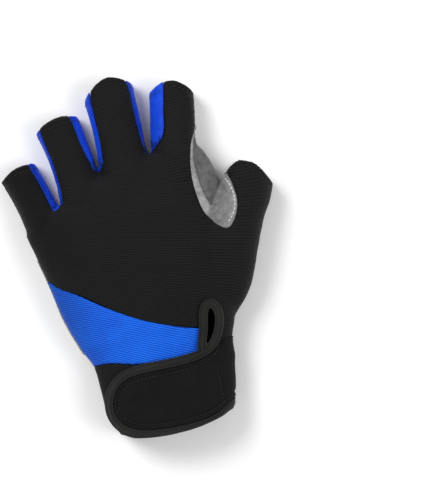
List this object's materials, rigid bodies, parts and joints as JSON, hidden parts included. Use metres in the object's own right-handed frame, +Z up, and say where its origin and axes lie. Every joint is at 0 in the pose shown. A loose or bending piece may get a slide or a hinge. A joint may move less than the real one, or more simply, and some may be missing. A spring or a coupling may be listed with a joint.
{
  "type": "fingerless rowing glove",
  "caption": "Fingerless left-hand glove with open finger stalls, quilted suede palm, fourchettes, keyhole slot and hook-and-loop wrist strap.",
  "frame": {"origin": "on the surface that the glove lies on, under the middle of its plan", "axes": "+Y from the wrist hem to the fingertips, +X to the thumb side, +Z up, out of the back"},
  "size_m": [0.138, 0.188, 0.0311],
  "materials": {
    "black_back_cloth": "matt stretch knit with fine ribs",
    "black_palm_cloth": "matt smooth knit",
    "black_cuff_cloth": "matt foam-backed knit",
    "black_loop_cloth": "matt loop cloth",
    "blue_cloth": "satin stretch knit",
    "grey_suede": "mottled synthetic suede",
    "ribbed_tape": "ribbed binding tape"
  },
  "bodies": {
    "root": {"back_panel": "black_back_cloth", "palm_panel": "black_palm_cloth", "cuff": "black_cuff_cloth", "strap": "black_loop_cloth", "wrist_panel": "blue_cloth", "fourchette_pinky_ring": "blue_cloth", "fourchette_ring_middle": "blue_cloth", "fourchette_middle_index": "blue_cloth", "thumb_gusset": "grey_suede", "palm_pad": "grey_suede", "wrist_tab": "grey_suede", "strap_binding": "ribbed_tape", "cuff_binding": "ribbed_tape", "keyhole_binding": "ribbed_tape"}
  },
  "joints": []
}
